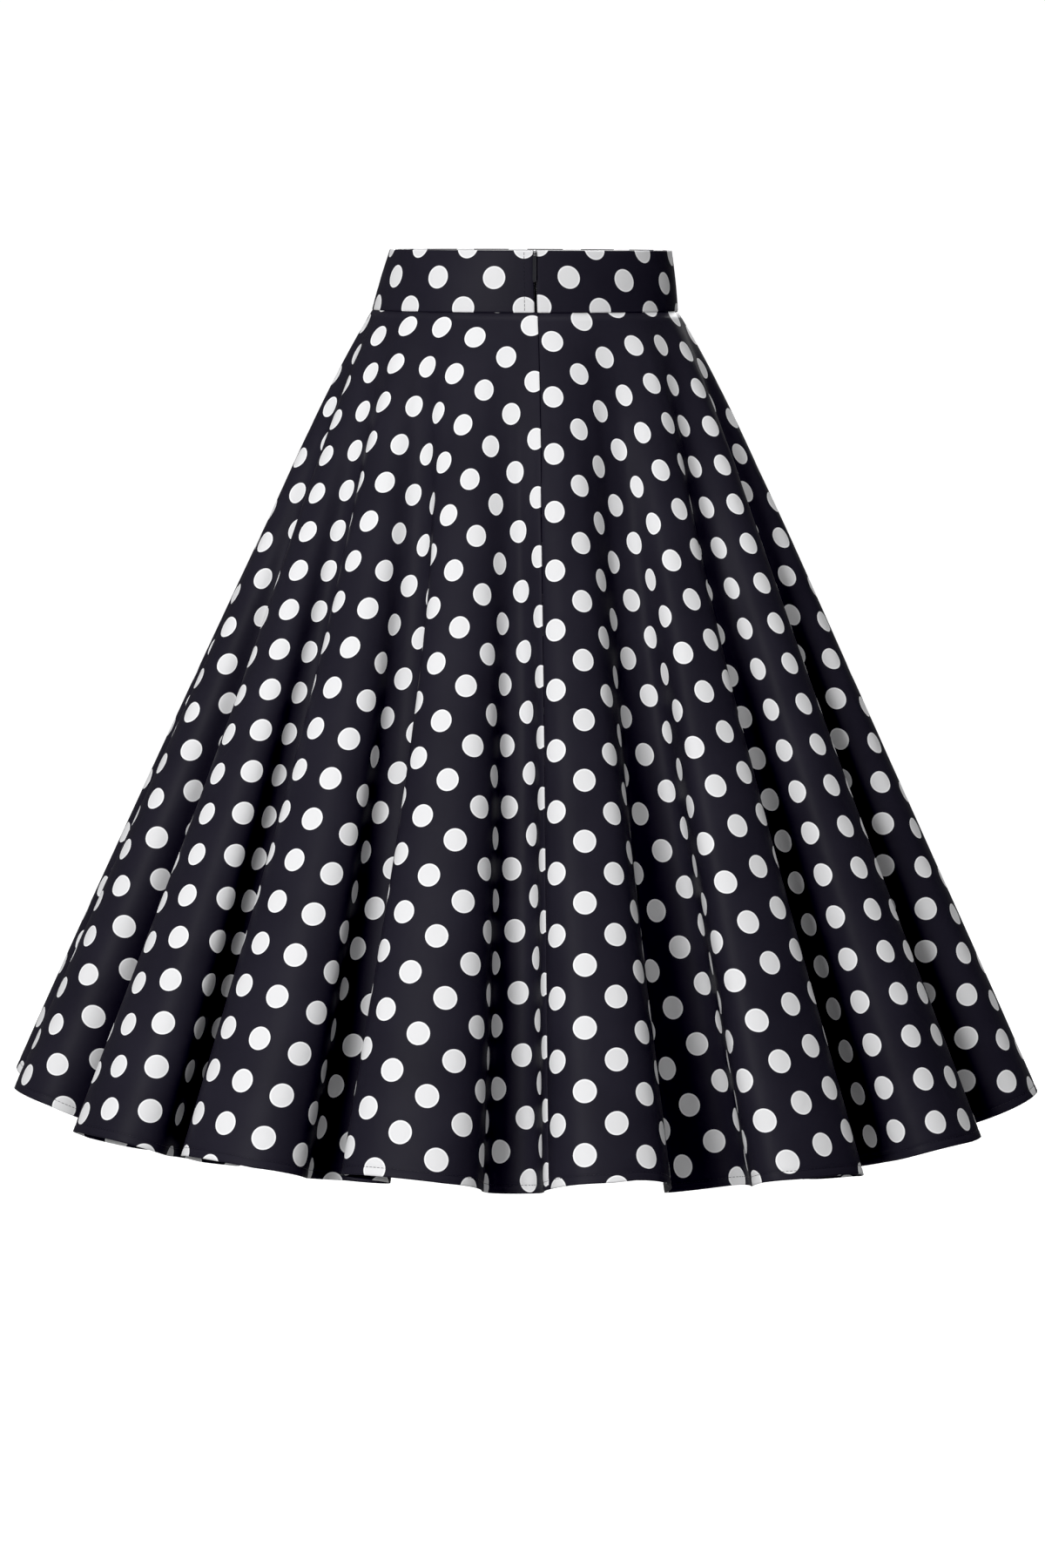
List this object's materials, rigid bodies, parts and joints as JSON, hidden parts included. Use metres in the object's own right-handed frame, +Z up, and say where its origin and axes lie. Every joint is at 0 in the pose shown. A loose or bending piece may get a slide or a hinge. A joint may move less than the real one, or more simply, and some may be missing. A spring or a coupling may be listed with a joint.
{
  "type": "circle skirt",
  "caption": "High-waisted full circle skirt with deep flutes, a shaped waistband, a narrow turned hem and a zip at the centre back.",
  "frame": {"origin": "centre of the waistband, half-way up its height, where the wearer's waist holds the skirt", "axes": "+Z up, -Y towards the wearer's back and the zip, +Y towards the wearer's front, +X towards the wearer's right"},
  "size_m": [0.8632, 0.7919, 0.737],
  "materials": {
    "printed_cotton": "navy-black cotton with a printed lattice of white dots",
    "zip_tape": "black woven tape",
    "zip_metal": "dull grey metal"
  },
  "bodies": {
    "skirt": {"skirt_front": "printed_cotton", "skirt_back_left": "printed_cotton", "skirt_back_right": "printed_cotton", "waistband_front": "printed_cotton", "waistband_back_left": "printed_cotton", "waistband_back_right": "printed_cotton", "zip_tape_left": "zip_tape", "zip_tape_right": "zip_tape", "zip_slider": "zip_metal"},
    "pull": {"zip_pull": "zip_metal"}
  },
  "joints": [
    {"name": "zip_pull_swing", "type": "hinge", "parent": "skirt", "child": "pull", "pos_m": [0.00754, -0.09458, 0.0235], "axis": [-1, 0, 0], "range_deg": [0, 150]}
  ]
}
